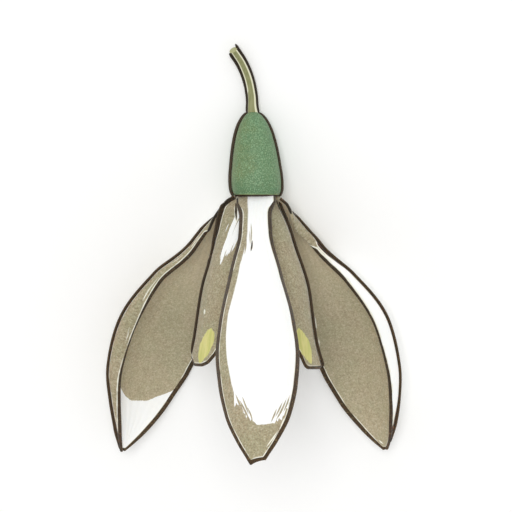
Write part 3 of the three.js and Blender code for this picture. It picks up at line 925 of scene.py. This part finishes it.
def left_inner_white(u, v, half_width, length):
    """A white sliver of painted highlight beside the claw of the front tepal, with a ragged edge; the
    rest is beige painted shade.
    """
    along = u.clip(0, 1)
    left = between([(0, 0.3), (0.05, 0.1), (0.073, -0.14), (0.117, -0.2), (0.165, -0.22),
                    (0.231, -0.16), (0.31, 0.0), (0.39, 0.12), (0.43, 0.4), (1, 0.4)], along)
    right = between([(0, -0.4), (0.06, -0.1), (0.08, 0.12), (0.117, 0.34), (0.165, 0.5),
                     (0.23, 0.52), (0.31, 0.4), (0.4, 0.2), (0.43, 0.2), (1, 0.2)], along)
    return np.minimum(v - left, right - v) * half_width, np.full(u.shape, -FAR)


def mark_about(notch):
    """Two leaf-shaped spots that spread from above the notch into the lobes."""

    def mark(u, v, half_width):
        beside = np.abs(v - notch) * half_width
        down = (u - MARK_FROM) * INNER_LENGTH / MARK_LENGTH
        middle = MARK_GAP + MARK_SPREAD * down.clip(0, 1) ** 1.3
        leaf = MARK_HALF_WIDTH * np.sin(np.pi * down.clip(0, 1) ** 0.9) ** 0.75
        return leaf - np.abs(beside - middle) - 4 * np.maximum(np.abs(down - 0.5) - 0.5, 0)

    return mark


inner_tepal = {
    **plain_blade,
    "root": 1.4,
    "length": INNER_LENGTH,
    "heading": [(0, 26), (0.07, 34), (0.18, 28.3), (0.45, 16.5), (0.7, 9.5), (1, 10.3)],
    "half_width": [(0, 1.5), (0.1, 1.85), (0.2, 2.15), (0.3, 2.4), (0.55, 3.38), (0.8, 3.55),
                   (1, 4.65)],
    "cup": [(0, 25), (0.1, 35), (0.3, 46), (0.6, 46), (1, 44)],
    "end_ink": 0.14,
    "margin_ink": [(0, 0.2), (0.06, 0.28), (1, 0.28)],
    "white": no_white,
    "streaks": even_streaks(0.6, 0.05),
    "turning": ((-1, 0), (0, 1)),
}
inner_tepals = {
    "left": {
        **inner_tepal,
        "turn": 310,
        "half_width": [(0, 1.2), (0.03, 1.75), (0.07, 2.05), (0.12, 1.9), (0.2, 1.7), (0.28, 2.05),
                       (0.36, 2.75), (0.55, 3.5), (0.8, 3.6), (1, 4.65)],
        "twist": [(0, -20), (0.14, -20), (0.3, -6), (0.42, 0), (1, 0)],
        "cup": [(0, 4), (0.1, 5), (0.2, 20), (0.34, 46), (0.6, 46), (1, 44)],
        "reach": [(-1, 0.9), (-0.7, 0.93), (-0.47, 0.952), (-0.35, 0.972), (-0.1, 0.974),
                  (0.1, 0.96), (0.28, 0.92), (0.42, 0.885), (0.58, 0.93), (0.8, 0.97), (1, 0.94)],
        "mark": mark_about(0.42),
        "white": left_inner_white,
        "outside_highlights": ((0.36, [(0.66, -0.27), (0.675, -0.25), (0.688, -0.23)]),),
        "dashes": ((0.24, [(0.015, -0.62), (0.07, -0.22), (0.14, 0.14)]),),
        "corded": ((-1, 0.02, 0.45, 0.28),),
    },
    "right": {
        **inner_tepal,
        "turn": 36.5,
        "half_width": [(0, 1.5), (0.1, 1.85), (0.2, 2.15), (0.3, 2.4), (0.55, 3.38), (0.8, 3.45),
                       (1, 4.1)],
        "cup": [(0, 25), (0.1, 35), (0.3, 46), (0.6, 46), (0.85, 42), (1, 36)],
        "reach": [(-1, 0.93), (-0.85, 0.98), (-0.5, 0.998), (-0.38, 0.98), (-0.16, 0.87),
                  (0.06, 0.895), (0.17, 0.94), (0.24, 0.975), (0.34, 0.987), (0.6, 0.986),
                  (0.85, 0.983), (1, 0.97)],
        "mark": mark_about(-0.16),
        "corded": ((1, 0, 1, 0.3),),
    },
    "back": {
        **inner_tepal,
        "turn": 178,
        "reach": [(-1, 0.93), (-0.85, 0.98), (-0.44, 1), (0, 0.87), (0.44, 1), (0.85, 0.98),
                  (1, 0.93)],
        "mark": mark_about(0),
    },
}
for name, tepal in inner_tepals.items():
    inner_blade = blade(tepal, *INNER_GRID)
    make(f"inner_tepal_{name}_blade", inner_blade, tepal_finish, f"inner_tepal_{name}")

# The stamens: six round the style, on a small disc under the ovary. Each has a short pale
# filament and a long orange anther that ends in a point, grooved along its length.
STAMENS = 6
DISC_RADIUS = 0.7
DISC_SIDES = 48
STAMEN_RINGS = 90
STAMEN_SIDES = 28
FILAMENT_SIDES = 16
FILAMENT_OVERLAP = 4  # rings of it that stand in the anther
ANTHER_FROM = 0.17  # share of the stamen that is filament
ANTHER_LOBES = 4
GROOVE_DEPTH = 0.18  # as a share of the anther's radius
ANTHER_ORANGE = colour(222, 156, 52)
ANTHER_DARK = colour(186, 116, 34)
FILAMENT_PALE = colour(226, 228, 196)


def anther_paint(tree):
    place = field(tree, "place", 1)
    grain = place.noise(7.0, 3.0)
    groove = field(tree, "groove")
    skin = (groove.above(0.5, 0.4) * 0.8).choose(ANTHER_ORANGE, ANTHER_DARK)
    return (grain.above(0.55, 0.2) * 0.4).choose(skin, ANTHER_DARK), 0.6 + grain * 0.2, grain


def pale_paint(tree):
    place = field(tree, "place", 1)
    fibre = place.stretched(6, 0.6, 6).noise(1.0, 3.0)
    return fibre.above(0.5, 0.2).choose(FILAMENT_PALE, OLIVE_PALE), 0.5 + fibre * 0.2, fibre


stamen_knots = [(0, -0.3, 0.5), (0, -1.2, 0.72), (0, -2.5, 1.06), (0, -5, 1.1), (0, -9, 0.6)]
stamen_line = through(stamen_knots, STAMEN_RINGS)
stamen_run = np.linspace(0, 1, STAMEN_RINGS)
stamen_width = [(0, 0.15), (0.13, 0.17), (0.25, 0.4), (0.38, 0.43), (0.7, 0.3), (1, 0.05)]
stamen_radius = between(stamen_width, stamen_run)
is_anther = stamen_run > ANTHER_FROM
anther_rings = is_anther.sum()
groove = (1 - np.cos(ANTHER_LOBES * 2 * np.pi * np.arange(STAMEN_SIDES) / STAMEN_SIDES)) / 2
anther_part = tube(stamen_line[is_anther], stamen_radius[is_anther], STAMEN_SIDES)
anther_middle = np.repeat(stamen_line[is_anther], STAMEN_SIDES, axis=0)
lobing = np.tile(1 - GROOVE_DEPTH * groove, anther_rings)
anther_part.points = anther_middle + (anther_part.points - anther_middle) * lobing[:, None]
anther_part.fields = {"groove": np.tile(groove, anther_rings)}
filament_run = np.linspace(0, 1, STAMEN_RINGS - anther_rings + FILAMENT_OVERLAP)
filament_radius = between([(0, 0.2), (0.3, 0.13), (1, 0.11)], filament_run)
filament_part = tube(stamen_line[: len(filament_run)], filament_radius, FILAMENT_SIDES)


def turned(shape, turn):
    """The shape, turned about the flower's axis."""
    points = about_axis(*shape.points.T, turn)
    return Shape(points, shape.faces, **{**shape.fields, "place": points})


disc_profile = through([(0, -0.78), (0.5, -0.77), (DISC_RADIUS, -0.62), (DISC_RADIUS, -0.1)], 30)[1:]
disc_turns = 2 * np.pi * np.arange(DISC_SIDES) / DISC_SIDES
disc_points = np.stack([
    np.outer(disc_profile[:, 0], np.sin(disc_turns)),
    np.repeat(disc_profile[:, 1:], DISC_SIDES, 1),
    np.outer(disc_profile[:, 0], np.cos(disc_turns)),
], -1).reshape(-1, 3)
filaments = Shape(disc_points, ring_faces(len(disc_profile), DISC_SIDES), place=disc_points)
filaments.faces = [face[::-1] for face in filaments.faces]
filaments.faces.append(tuple(range(DISC_SIDES)))
filaments.faces.append(tuple(range(len(disc_points) - DISC_SIDES, len(disc_points)))[::-1])
anthers = Shape(np.zeros((0, 3)), [])
for i in range(STAMENS):
    turn = 2 * math.pi * (i + 0.5) / STAMENS
    filaments += turned(filament_part, turn)
    anthers += turned(anther_part, turn)
anther_finish = finish_of("anther_skin", anther_paint, Specular_IOR_Level=0.25)
pale_finish = finish_of("filament_skin", pale_paint, Specular_IOR_Level=0.3)
make("stamen_filaments", filaments, pale_finish, "stamens")
make("stamen_anthers", anthers, anther_finish, "stamens")

# The style: one slender pale rod in the middle of the stamens, a little swollen past half way and
# drawn in to the small stigma at its end.
STYLE_TOP = -0.7
STYLE_TIP = -11
STYLE_RINGS = 80
STYLE_SIDES = 24
style_line = np.zeros((STYLE_RINGS, 3))
style_line[:, 1] = np.linspace(STYLE_TOP, STYLE_TIP, STYLE_RINGS)
style_run = np.linspace(0, 1, STYLE_RINGS)
style_radius = between([(0, 0.16), (0.6, 0.27), (0.93, 0.2), (0.97, 0.16), (1, 0.06)], style_run)
style_rod = tube(style_line, style_radius, STYLE_SIDES)
style_rod.fields = {"place": style_rod.points.copy()}
make("style_rod", style_rod, pale_finish, "style")

# The table, the light and the camera: a plain white table top, even light from all round, one soft
# lamp above the flower, a little to the upper left, and a long lens straight above the flower.
TABLE_SIZE = 4.0  # in metres, as the lamp's sizes; the lens and its film are in mm
LAMP_DISTANCE = 0.9
LAMP_SHIFT = (-0.06, 0.06, 0)  # from straight above
LAMP_SIZE = 0.4
LAMP_POWER = 3.7
SKY_STRENGTH = 0.68
LENS = 200
FILM = 36

floor_mesh = bpy.data.meshes.new("table_top")
half_table = TABLE_SIZE / 2
corners = [(x * half_table, y * half_table, 0) for x, y in ((-1, -1), (1, -1), (1, 1), (-1, 1))]
floor_mesh.from_pydata(corners, [], [(0, 1, 2, 3)])
floor = placed("table_top", floor_mesh)
floor_material = bpy.data.materials.new("table_white")
floor_material.use_nodes = True
floor_shader = floor_material.node_tree.nodes["Principled BSDF"]
floor_shader.inputs["Base Color"].default_value = colour(252, 252, 251)
floor_shader.inputs["Roughness"].default_value = 0.9
floor_shader.inputs["Specular IOR Level"].default_value = 0.1
floor_mesh.materials.append(floor_material)

sky = bpy.data.worlds.new("even_light")
sky.use_nodes = True
background = sky.node_tree.nodes["Background"]
background.inputs["Color"].default_value = (1, 1, 1, 1)
background.inputs["Strength"].default_value = SKY_STRENGTH
bpy.context.scene.world = sky
lamp_data = bpy.data.lights.new("soft_lamp", "AREA")
lamp_data.shape = "DISK"
lamp_data.size = LAMP_SIZE
lamp_data.energy = LAMP_POWER
lamp = placed("soft_lamp", lamp_data)
lamp.location = TOP * LAMP_DISTANCE + np.array(LAMP_SHIFT)
lamp.rotation_euler = (-lamp.location).to_track_quat("-Z", "Y").to_euler()

camera_data = bpy.data.cameras.new("camera")
camera_data.lens = LENS
camera_data.sensor_width = FILM
camera_data.clip_start = 0.01
camera = placed("camera", camera_data)
camera_place = np.eye(4)
camera_place[:3] = np.column_stack([RIGHT, AXIS, TOP, laid(EYE) * MM])
camera.matrix_world = Matrix(camera_place.tolist())
bpy.context.scene.camera = camera
bpy.context.scene.view_settings.view_transform = "Standard"
